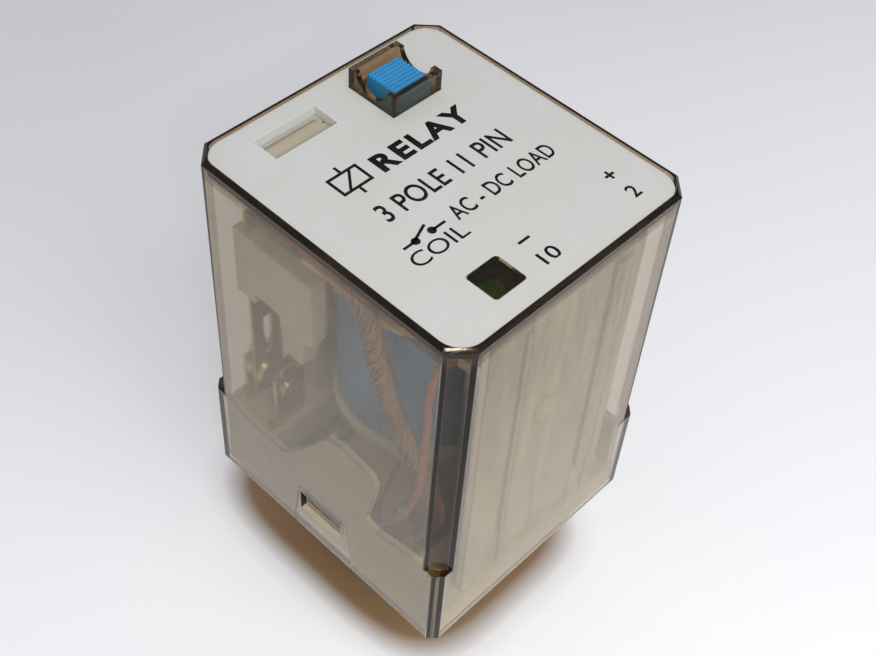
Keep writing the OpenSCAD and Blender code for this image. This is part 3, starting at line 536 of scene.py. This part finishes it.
def base_ivory():
    """Moulded ivory, with painted shade on the side walls, and deeper painted shade on the lugs
    in the snap windows.
    """
    s = moulded_plastic("ivory_base", IVORY, 0.42, 0.1, 5200.0, 0.07)
    tone = s.principled.inputs["Base Color"].links[0].from_socket
    aside = s.math("ABSOLUTE", s.axis(0))
    # The lugs reach the base's greatest x, and the walls stop a little short of it
    wall = s.spread(aside, BASE_HIGH.x - 1.1 * MM, BASE_HIGH.x - 0.7 * MM, 0.0, 0.34)
    lug = s.spread(aside, BASE_HIGH.x - 0.5 * MM, BASE_HIGH.x - 0.35 * MM, 0.0, 0.64)
    # Painted shade: light on the side walls, deeper on the lugs inside the snap windows, unevenly
    painted_shade = s.math("ADD", wall, lug)
    shade_unevenness = s.spread(s.noise(900.0, 4.0), 0.3, 0.7, 0.75, 1.0)
    s.set(base_color=s.blend(s.math("MULTIPLY", painted_shade, shade_unevenness), tone, (0.06, 0.043, 0.028)))
    return s


# Tinned wire at the ends of the resistor and the diode
LEAD_TIN = (0.62, 0.6, 0.55)

MATERIALS = {
    "smoke_cover": smoke_plastic(),
    "label_white": label_plastic(),
    "ivory_base": base_ivory(),
    "ivory_parts": ribbed_ivory(),
    "pin_nickel": worked_metal("pin_nickel", (0.76, 0.74, 0.69), (0.4, 0.36, 0.3), 0.2, 2, 0.1, 0.4),
    "plated_iron": worked_metal("plated_iron", (0.66, 0.65, 0.62), (0.33, 0.31, 0.28), 0.32, 1, 0.12, 0.5),
    "copper_wire": enamelled_winding(),
    "coil_tape_blue": blue_tape(),
    "blade_brass": worked_metal("blade_brass", (0.83, 0.65, 0.36), (0.5, 0.33, 0.14), 0.36, 2, 0.08, 0.25),
    "contact_silver": worked_metal(
        "contact_silver", (0.9, 0.87, 0.8), (0.5, 0.44, 0.35), 0.28, None, 0.06, 0.25),
    "spring_steel": worked_metal(
        "spring_steel", (0.66, 0.65, 0.63), (0.3, 0.28, 0.26), 0.26, None, 0.1, 0.3),
    "copper_braid": bare_braid(),
    "lead_insulation": moulded_plastic("lead_insulation", (0.3, 0.1, 0.07), 0.36, 0.14, 4000.0, 0.12),
    "module_board": laminate(),
    "led_green": green_resin(),
    "resistor_body": banded_part(
        "resistor_body", "module_resistor", (0.66, 0.54, 0.35),
        [(0.0, 0.2, LEAD_TIN), (0.3, 0.35, (0.24, 0.07, 0.02)), (0.41, 0.46, (0.02, 0.02, 0.02)),
         (0.52, 0.57, (0.6, 0.1, 0.03)), (0.66, 0.7, (0.55, 0.4, 0.12)), (0.8, 1.0, LEAD_TIN)], 0.28),
    "diode_body": banded_part(
        "diode_body", "module_diode", (0.025, 0.025, 0.027),
        [(0.0, 0.2, LEAD_TIN), (0.62, 0.7, (0.6, 0.6, 0.58)), (0.8, 1.0, LEAD_TIN)], 0.3),
    "button_blue": moulded_plastic("button_blue", (0.045, 0.33, 0.68), 0.36, 0.12, 7000.0, 0.09, 0.3),
    "flag_beige": moulded_plastic("flag_beige", (0.56, 0.5, 0.38), 0.42, 0.12, 6000.0, 0.05),
    "print_black": ink(),
}


def dress_cad_nodes():
    """Gives every CAD node the material of its slot."""
    slot_of = {row["node"]: row["material_slot"] for row in frame["record"]["subparts"]}
    for name, obj in NODES.items():
        obj.data.materials.clear()
        obj.data.materials.append(MATERIALS[slot_of[name]].material)


# ---- edges of the CAD nodes ----

def soften(width, *names):
    """Rounds the nodes' sharp edges with modifiers: their meshes stay as imported."""
    for name in names:
        obj = NODES[name]
        weld = obj.modifiers.new("weld", "WELD")
        weld.merge_threshold = 0.0005 * MM
        flat = obj.modifiers.new("flatten", "DECIMATE")
        flat.decimate_type = "DISSOLVE"
        flat.angle_limit = math.radians(0.6)
        bevel = obj.modifiers.new("edges", "BEVEL")
        bevel.width = width
        bevel.segments = 2
        bevel.limit_method = "ANGLE"
        bevel.angle_limit = math.radians(32)
        bevel.harden_normals = True


# ---- mesh tools ----

def new_object(name, bm, material, body="housing"):
    """Makes an object of bm, in its material and slot, that rides body unless body is None."""
    mesh = bpy.data.meshes.new(name)
    bm.normal_update()
    bm.to_mesh(mesh)
    bm.free()
    obj = bpy.data.objects.new(name, mesh)
    bpy.context.scene.collection.objects.link(obj)
    mesh.materials.append(MATERIALS[material].material)
    if body:
        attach(obj, body)
    return obj


def catmull(a, b, c, d, t):
    """The point at share t of the span from b to c."""
    square = (2 * a - 5 * b + 4 * c - d) * t * t
    cube = (3 * b - a - 3 * c + d) * t ** 3
    return 0.5 * (2 * b + (c - a) * t + square + cube)


def smooth_path(points, steps):
    """Points along a Catmull-Rom curve through the route, steps to each of its spans."""
    p = [Vector(q) * MM for q in points]
    p = [2 * p[0] - p[1]] + p + [2 * p[-1] - p[-2]]
    path = [
        catmull(p[i - 1], p[i], p[i + 1], p[i + 2], k / steps)
        for i in range(1, len(p) - 2) for k in range(steps)
    ]
    return path + [p[-2]]


def frames_along(path, start=None):
    """A (normal, binormal) pair at each point, carried along without twist from start."""
    last = len(path) - 1
    tangents = [(path[min(i + 1, last)] - path[max(i - 1, 0)]).normalized() for i in range(last + 1)]
    normal = start or tangents[0].orthogonal().normalized()
    result = []
    for t in tangents:
        normal = (normal - normal.dot(t) * t).normalized()
        result.append((normal, t.cross(normal)))
    return result


def add_tube(bm, path, radius, sides):
    """A smooth tube with closed ends."""
    rings = []
    for centre, (n, b) in zip(path, frames_along(path)):
        rings.append([
            bm.verts.new(centre + radius * (math.cos(a) * n + math.sin(a) * b))
            for a in (2 * math.pi * k / sides for k in range(sides))
        ])
    for low, high in zip(rings, rings[1:]):
        for k in range(sides):
            face = bm.faces.new((low[k], low[(k + 1) % sides], high[(k + 1) % sides], high[k]))
            face.smooth = True
    bm.faces.new(list(reversed(rings[0])))
    bm.faces.new(rings[-1])


# ---- braids ----

BRAID_STRANDS = 19
# A strand's radius, as a share of its lead's smaller half width
BRAID_STRAND = 0.15
# Length of one turn of a strand round its lead
BRAID_LAY = 9 * MM
# A lead is round at its ends, and takes this length to become flat
BRAID_FLATTENS = 5 * MM
# Routes in millimetres, from the moving spring to the terminal
OUTER_ROUTE = [
    (10.6, 13.56, 55.8), (10.6, 11.6, 55.9), (10.9, 7, 56.5), (11.3, 2, 56.7), (11.4, -1, 55.9),
    (11.4, -2.9, 53.6), (11.4, -4.3, 48.8), (11.3, -6.4, 43.4), (11.1, -9.2, 38.4),
    (10.6, -11.2, 33.4), (10.2, -11.3, 29), (10.1, -9.9, 25.8), (10.1, -9.7, 23),
]
MIDDLE_ROUTE = [
    (2.55, 13.8, 36.4), (2.7, 13.7, 37.8), (3.2, 12.8, 38.9), (3.6, 11.5, 38.2), (3.6, 10.6, 35.4),
    (3.4, 10.1, 31.6), (3, 9.7, 27.6), (1.9, 8.6, 26.6), (0.7, 7.4, 26.1), (0.1, 6.8, 24.6),
    (0, 6.85, 22.6),
]


def braid(name, route, thin, wide):
    """A flexible lead of fine strands laid round each other. It is flat along its run, wide across
    the coil and thin away from it, and round where it is crimped together at its ends."""
    path = smooth_path(route, 10)
    carried = frames_along(path, Vector((1, 0, 0)))
    lengths = [0.0]
    for a, b in zip(path, path[1:]):
        lengths.append(lengths[-1] + (b - a).length)
    strand = thin * BRAID_STRAND
    rows = []
    for point, (n, b), length in zip(path, carried, lengths):
        flat = min(1.0, min(length, lengths[-1] - length) / BRAID_FLATTENS)
        rows.append((point, n * thin * (1 - 0.22 * flat), b * (thin + (wide - thin) * flat), length))
    bm = bmesh.new()
    for k in range(BRAID_STRANDS):
        lane = []
        for point, across, along, length in rows:
            wobble = 0.06 * noise.noise(Vector((k * 3.1, length * 900.0, 0.5)))
            a = 2 * math.pi * (k / BRAID_STRANDS + length / BRAID_LAY + wobble)
            lane.append(point + math.cos(a) * (across - strand * across.normalized())
                        + math.sin(a) * (along - strand * along.normalized()))
        add_tube(bm, lane, strand, 6)
    # Three plain cores side by side close the gaps between the strands
    for side in (-0.45, 0, 0.45):
        add_tube(bm, [point + side * along for point, across, along, length in rows], thin * 0.5, 10)
    obj = new_object(name, bm, "copper_braid", None)
    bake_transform(obj)
    return obj


def flexible_leads():
    mirrored = [(-x, y, z) for x, y, z in OUTER_ROUTE]
    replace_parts(braid("braid_strands_1", OUTER_ROUTE, 1.05 * MM, 1.6 * MM), "braid_1")
    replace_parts(braid("braid_strands_2", MIDDLE_ROUTE, 0.5 * MM, 0.5 * MM), "braid_2")
    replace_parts(braid("braid_strands_3", mirrored, 1.05 * MM, 1.6 * MM), "braid_3")


# ---- return spring ----

def return_spring():
    """Extension spring of round wire, with a straight tail on its axis at each end."""
    low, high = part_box("return_spring")
    wire = 0.18 * MM
    coil_r = 0.9 * MM
    turns, steps_per_turn = 13, 28
    coil_low, coil_high = 39.6 * MM, 52.6 * MM
    x, y = (low.x + high.x) / 2, -13.9 * MM
    bottom, top = low.z + wire, high.z - wire
    path = [Vector((x, y, bottom)), Vector((x, y, bottom + 0.5 * MM))]
    steps = turns * steps_per_turn
    for i in range(steps + 1):
        a = 2 * math.pi * i / steps_per_turn
        share = i / steps
        # The first and the last half turn wind out from the axis
        r = coil_r * min(1.0, share * turns * 2, (1 - share) * turns * 2)
        z = coil_low + (coil_high - coil_low) * share
        path.append(Vector((x + r * math.sin(a), y + r * math.cos(a), z)))
    path += [Vector((x, y, z)) for z in (coil_high + 0.6 * MM, (coil_high + top) / 2, top)]
    bm = bmesh.new()
    add_tube(bm, path, wire, 8)
    spring = new_object("return_spring_wire", bm, "spring_steel", None)
    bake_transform(spring)
    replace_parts(spring, "return_spring")


# ---- coil tape ----

def wound_tape():
    """The tape as it is wound: two layers, a lap seam with a lifted edge, shallow creases."""
    low_end, high_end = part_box("coil_tape")
    centre = (low_end + high_end) / 2
    outer = (high_end.x - low_end.x) / 2
    # One winding of tape stands this much further out than the one under it
    step = 0.07 * MM
    # How far the mean surface lies inside the CAD piece's, and how deep the creases are
    sink, crease_depth = 0.05 * MM, 0.045 * MM
    # How far the upper and lower edges are drawn in, over this share of the height
    draw_in, edge_share = 0.05 * MM, 1 / 14
    around, up = 180, 30
    seam = math.radians(-158)
    bm = bmesh.new()
    rings = []
    for j in range(up + 1):
        z = low_end.z + (high_end.z - low_end.z) * j / up
        tuck = draw_in * max(0.0, 1 - min(j, up - j) / up / edge_share)
        ring = []
        for i in range(around + 1):
            a = seam + 2 * math.pi * i / around
            crease = crease_depth * noise.noise(Vector((3 * math.cos(a), 3 * math.sin(a), z * 260)))
            r = min(outer, outer - sink - step * (1 - i / around) + crease - tuck)
            ring.append(bm.verts.new((centre.x + r * math.cos(a), centre.y + r * math.sin(a), z)))
        rings.append(ring)
    for low, high in zip(rings, rings[1:]):
        for i in range(around):
            bm.faces.new((low[i], low[i + 1], high[i + 1], high[i])).smooth = True
    tape = new_object("coil_tape_wrap", bm, "coil_tape_blue")
    body = tape.modifiers.new("thickness", "SOLIDIFY")
    body.thickness = 0.2 * MM
    body.offset = -1
    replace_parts(tape, "coil_tape")


# ---- stud ----

def stud_bead():
    """The end of the small rivet in the middle of the stud."""
    radius, sunk = 0.34 * MM, 0.24 * MM
    bm = bmesh.new()
    bmesh.ops.create_icosphere(bm, subdivisions=3, radius=radius)
    bmesh.ops.translate(bm, verts=bm.verts, vec=(STUD[0], STUD_FRONT + sunk, STUD[1]))
    for face in bm.faces:
        face.smooth = True
    new_object("stud_bead", bm, "pin_nickel")


# ---- label print ----

PRINT_Z = LABEL_HIGH.z
PRINT_T = 0.012 * MM
POCKET_LINE_T = 0.02 * MM
# Added to all the print's coordinates
PRINT_SHIFT = Vector((0.48 * MM, 0.4 * MM, 0))
# Width of a printed line, in millimetres
STROKE = 0.3
DOT_SIDES = 32


def text_shape(words, weight=0.0, spacing=1.0):
    """A flat text mesh at the origin, in Blender's own plain font."""
    curve = bpy.data.curves.new("words", "FONT")
    curve.body = words
    curve.size = 1.0
    curve.offset = weight
    curve.space_character = spacing
    curve.resolution_u = 6
    holder = bpy.data.objects.new("words", curve)
    bpy.context.scene.collection.objects.link(holder)
    bpy.context.view_layer.update()
    mesh = bpy.data.meshes.new_from_object(holder.evaluated_get(bpy.context.evaluated_depsgraph_get()))
    bpy.data.objects.remove(holder)
    bpy.data.curves.remove(curve)
    return mesh


def span(mesh, axis):
    """The least and the greatest coordinate along an axis."""
    values = [v.co[axis] for v in mesh.vertices]
    return min(values), max(values)


def add_text(bm, words, x, y, weight=0.0, spacing=1.0):
    """Fits words into the span x and y, in millimetres, on the label's face."""
    mesh = text_shape(words, weight, spacing)
    left, right = span(mesh, 0)
    low, high = span(mesh, 1)
    size_x = (x[1] - x[0]) * MM / (right - left)
    size_y = (y[1] - y[0]) * MM / (high - low)
    to_origin = Matrix.Translation((-left, -low, 0))
    to_place = Matrix.Translation((x[0] * MM, y[0] * MM, 0))
    mesh.transform(to_place @ Matrix.Diagonal((size_x, size_y, 1, 1)) @ to_origin)
    bm.from_mesh(mesh)
    bpy.data.meshes.remove(mesh)


def add_polygon(bm, points):
    """A flat face through the points, in millimetres."""
    bm.faces.new([bm.verts.new((x * MM, y * MM, 0)) for x, y in points])


def add_stroke(bm, a, b, width):
    """A straight printed line from a to b, in millimetres."""
    a, b = Vector(a), Vector(b)
    side = (b - a).normalized().orthogonal() * width / 2
    add_polygon(bm, [a - side, b - side, b + side, a + side])


def add_dot(bm, x, y, r):
    angles = [2 * math.pi * k / DOT_SIDES for k in range(DOT_SIDES)]
    add_polygon(bm, [(x + r * math.cos(a), y + r * math.sin(a)) for a in angles])


def add_frame_line(bm, x, y, width):
    """A hairline rectangle."""
    h = width / 2
    for side in y:
        add_stroke(bm, (x[0] - h, side), (x[1] + h, side), width)
    for side in x:
        add_stroke(bm, (side, y[0] + h), (side, y[1] - h), width)


def raise_print(bm, z, thickness):
    """Turns the flat shapes into thin layers standing on the face at z."""
    bmesh.ops.remove_doubles(bm, verts=bm.verts, dist=1e-7)
    for face in bm.faces:
        if face.normal.z < 0:
            face.normal_flip()
    for v in bm.verts:
        v.co.z = z
    grown = bmesh.ops.extrude_face_region(bm, geom=list(bm.faces))
    for item in grown["geom"]:
        if isinstance(item, bmesh.types.BMVert):
            item.co.z = z + thickness
    bmesh.ops.recalc_face_normals(bm, faces=bm.faces)


def add_coil_symbol(bm, x, y):
    """A box with a slanting bar, and a lead above it and below it."""
    half_x, half_y = 1.75, 1.2
    add_frame_line(bm, (x - half_x, x + half_x), (y - half_y, y + half_y), 0.34)
    add_stroke(bm, (x - 0.85, y - 1.05), (x + 0.85, y + 1.05), STROKE)
    for side in (-1, 1):
        add_stroke(bm, (x, y + side * 1.36), (x, y + side * 2.25), 0.32)


def add_make_contact(bm, x, y):
    """Two dots with their wires, and an arm that rises from the left dot."""
    apart = 1.05
    add_stroke(bm, (x - 2.6, y), (x - apart - 0.15, y), STROKE)
    add_stroke(bm, (x + apart + 0.15, y), (x + 2.8, y), STROKE)
    add_stroke(bm, (x - apart, y + 0.12), (x + apart, y + 1.0), STROKE)
    add_dot(bm, x - apart, y, 0.46)
    add_dot(bm, x + apart, y, 0.46)


def add_plus(bm, x, y):
    """A plus sign: its upright is two strokes, one each side of the level one."""
    arm = 0.6
    add_stroke(bm, (x - arm, y), (x + arm, y), STROKE)
    for side in (-1, 1):
        add_stroke(bm, (x, y + side * 0.16), (x, y + side * arm), STROKE)


def label_print():
    """Generic lettering and symbols in place of the maker's: a coil symbol, plain words, the
    contact symbol, and the numbers and signs of the coil's two terminals."""
    bm = bmesh.new()
    add_coil_symbol(bm, -7.85, 4.5)
    add_text(bm, "RELAY", (-4.7, 7.6), (2.95, 5.5), 0.042, 1.2)
    add_text(bm, "3 POLE 11 PIN", (-9.1, 7.8), (-2.15, 0.3), 0.012, 1.03)
    add_make_contact(bm, -8, -5.4)
    add_text(bm, "AC - DC LOAD", (-4.2, 9.7), (-6.25, -4.3), 0.013, 1.05)
    add_text(bm, "COIL", (-11.2, -4.5), (-8.1, -6.3))
    # The coil's terminals: 10 is the negative one, 2 the positive one
    add_stroke(bm, (-2.45, -11.95), (-0.95, -11.95), STROKE)
    add_text(bm, "10", (-2.45, -0.25), (-15.55, -13.9), 0.012)
    add_plus(bm, 10.9, -11.7)
    add_text(bm, "2", (10.3, 11.4), (-15.45, -13.8), 0.012)
    bmesh.ops.translate(bm, verts=bm.verts, vec=PRINT_SHIFT)
    raise_print(bm, PRINT_Z, PRINT_T)
    new_object("label_print", bm, "print_black")


def label_pocket():
    """The faint raised outline round the coil terminals' marks, part of the label's moulding."""
    bm = bmesh.new()
    add_frame_line(bm, (-2.95, 13.8), (-15.55, -6.6), 0.1)
    bmesh.ops.translate(bm, verts=bm.verts, vec=PRINT_SHIFT)
    raise_print(bm, PRINT_Z, POCKET_LINE_T)
    new_object("label_pocket_line", bm, "label_white")


def terminal_numbers():
    """Small raised numbers beside the pins, on the plug's seat face."""
    seat_z, height, thickness = 13 * MM, 1.25 * MM, 0.07 * MM
    from_axis = 11.85 * MM
    pins = 11
    bm = bmesh.new()
    for n in range(1, pins + 1):
        pin_low, pin_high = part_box(f"pin_{n:02d}")
        centre = (pin_low + pin_high) / 2
        out = Vector((centre.x, centre.y, 0)).normalized()
        mesh = text_shape(str(n))
        left, right = span(mesh, 0)
        low, high = span(mesh, 1)
        size = height / (high - low)
        middle = Vector(((left + right) / 2, (low + high) / 2, 0))
        # Its top points at the plug's axis, and it is mirrored so that it reads from below
        turn = Matrix(((-out.y, -out.x, 0), (out.x, -out.y, 0), (0, 0, 1)))
        flip = Matrix.Diagonal((-1, 1, 1))
        at = out * from_axis
        for v in mesh.vertices:
            v.co = at + turn @ (flip @ ((v.co - middle) * size))
        bm.from_mesh(mesh)
        bpy.data.meshes.remove(mesh)
    raise_print(bm, seat_z - 0.06 * MM, thickness)
    new_object("terminal_numbers", bm, "ivory_base")


# ---- camera, light and floor ----

# Half the floor's side, in metres
FLOOR_HALF = 1.6


def direction(azimuth, elevation):
    level = math.cos(elevation)
    return Vector((level * math.cos(azimuth), level * math.sin(azimuth), math.sin(elevation)))


def place_camera():
    data = bpy.data.cameras.new("camera")
    data.lens = CAMERA_LENS
    data.sensor_width = 36.0
    data.clip_start = 0.005
    camera = bpy.data.objects.new("camera", data)
    bpy.context.scene.collection.objects.link(camera)
    back = direction(CAMERA_AZIMUTH, CAMERA_ELEVATION)
    level = Vector((0, 0, 1)).cross(back).normalized()
    up = back.cross(level)
    right = level * math.cos(CAMERA_ROLL) + up * math.sin(CAMERA_ROLL)
    turn = Matrix((right, back.cross(right), back)).transposed().to_4x4()
    camera.matrix_world = Matrix.Translation(AIM + back * CAMERA_DISTANCE) @ turn
    bpy.context.scene.camera = camera


def soft_light(name, azimuth, elevation, distance, size, power, colour):
    """A round lamp facing the aim point, placed by angles in degrees and a distance in metres."""
    data = bpy.data.lights.new(name, "AREA")
    data.shape = "DISK"
    data.size = size
    data.energy = power
    data.color = colour
    light = bpy.data.objects.new(name, data)
    bpy.context.scene.collection.objects.link(light)
    away = direction(math.radians(azimuth), math.radians(elevation))
    turn = away.to_track_quat("Z", "Y").to_matrix().to_4x4()
    light.matrix_world = Matrix.Translation(AIM + away * distance) @ turn


def studio():
    scene = bpy.context.scene
    scene.view_settings.view_transform = "Standard"
    world = bpy.data.worlds.new("studio")
    scene.world = world
    world.use_nodes = True
    background = world.node_tree.nodes["Background"]
    background.inputs["Color"].default_value = (0.94, 0.95, 1.0, 1.0)
    background.inputs["Strength"].default_value = 0.4
    soft_light("key", -100.0, 42.0, 0.4, 0.3, 0.66, (1.0, 0.985, 0.96))
    soft_light("top", 100.0, 80.0, 0.8, 0.6, 0.6, (0.97, 0.98, 1.0))
    soft_light("front", -131.0, 44.2, 0.22, 0.025, 0.075, (1.0, 1.0, 0.98))


def lay_floor():
    bm = bmesh.new()
    bmesh.ops.create_grid(bm, x_segments=2, y_segments=2, size=FLOOR_HALF)
    mesh = bpy.data.meshes.new("floor")
    bm.to_mesh(mesh)
    bm.free()
    floor = bpy.data.objects.new("floor", mesh)
    floor.location.z = CAD_BOX[0].z - 0.02 * MM
    bpy.context.scene.collection.objects.link(floor)
    mesh.materials.append(paper_floor().material)


# ---- the model ----

dress_cad_nodes()
soften(0.12 * MM, "cover")
soften(0.08 * MM, "label_plate", "contact_block", "contact_carrier", "module_holder")
soften(0.14 * MM, "base", "test_button")
soften(0.06 * MM, "yoke", "armature", "bobbin")
flexible_leads()
return_spring()
wound_tape()
stud_bead()
label_print()
label_pocket()
terminal_numbers()

place_camera()
studio()
lay_floor()
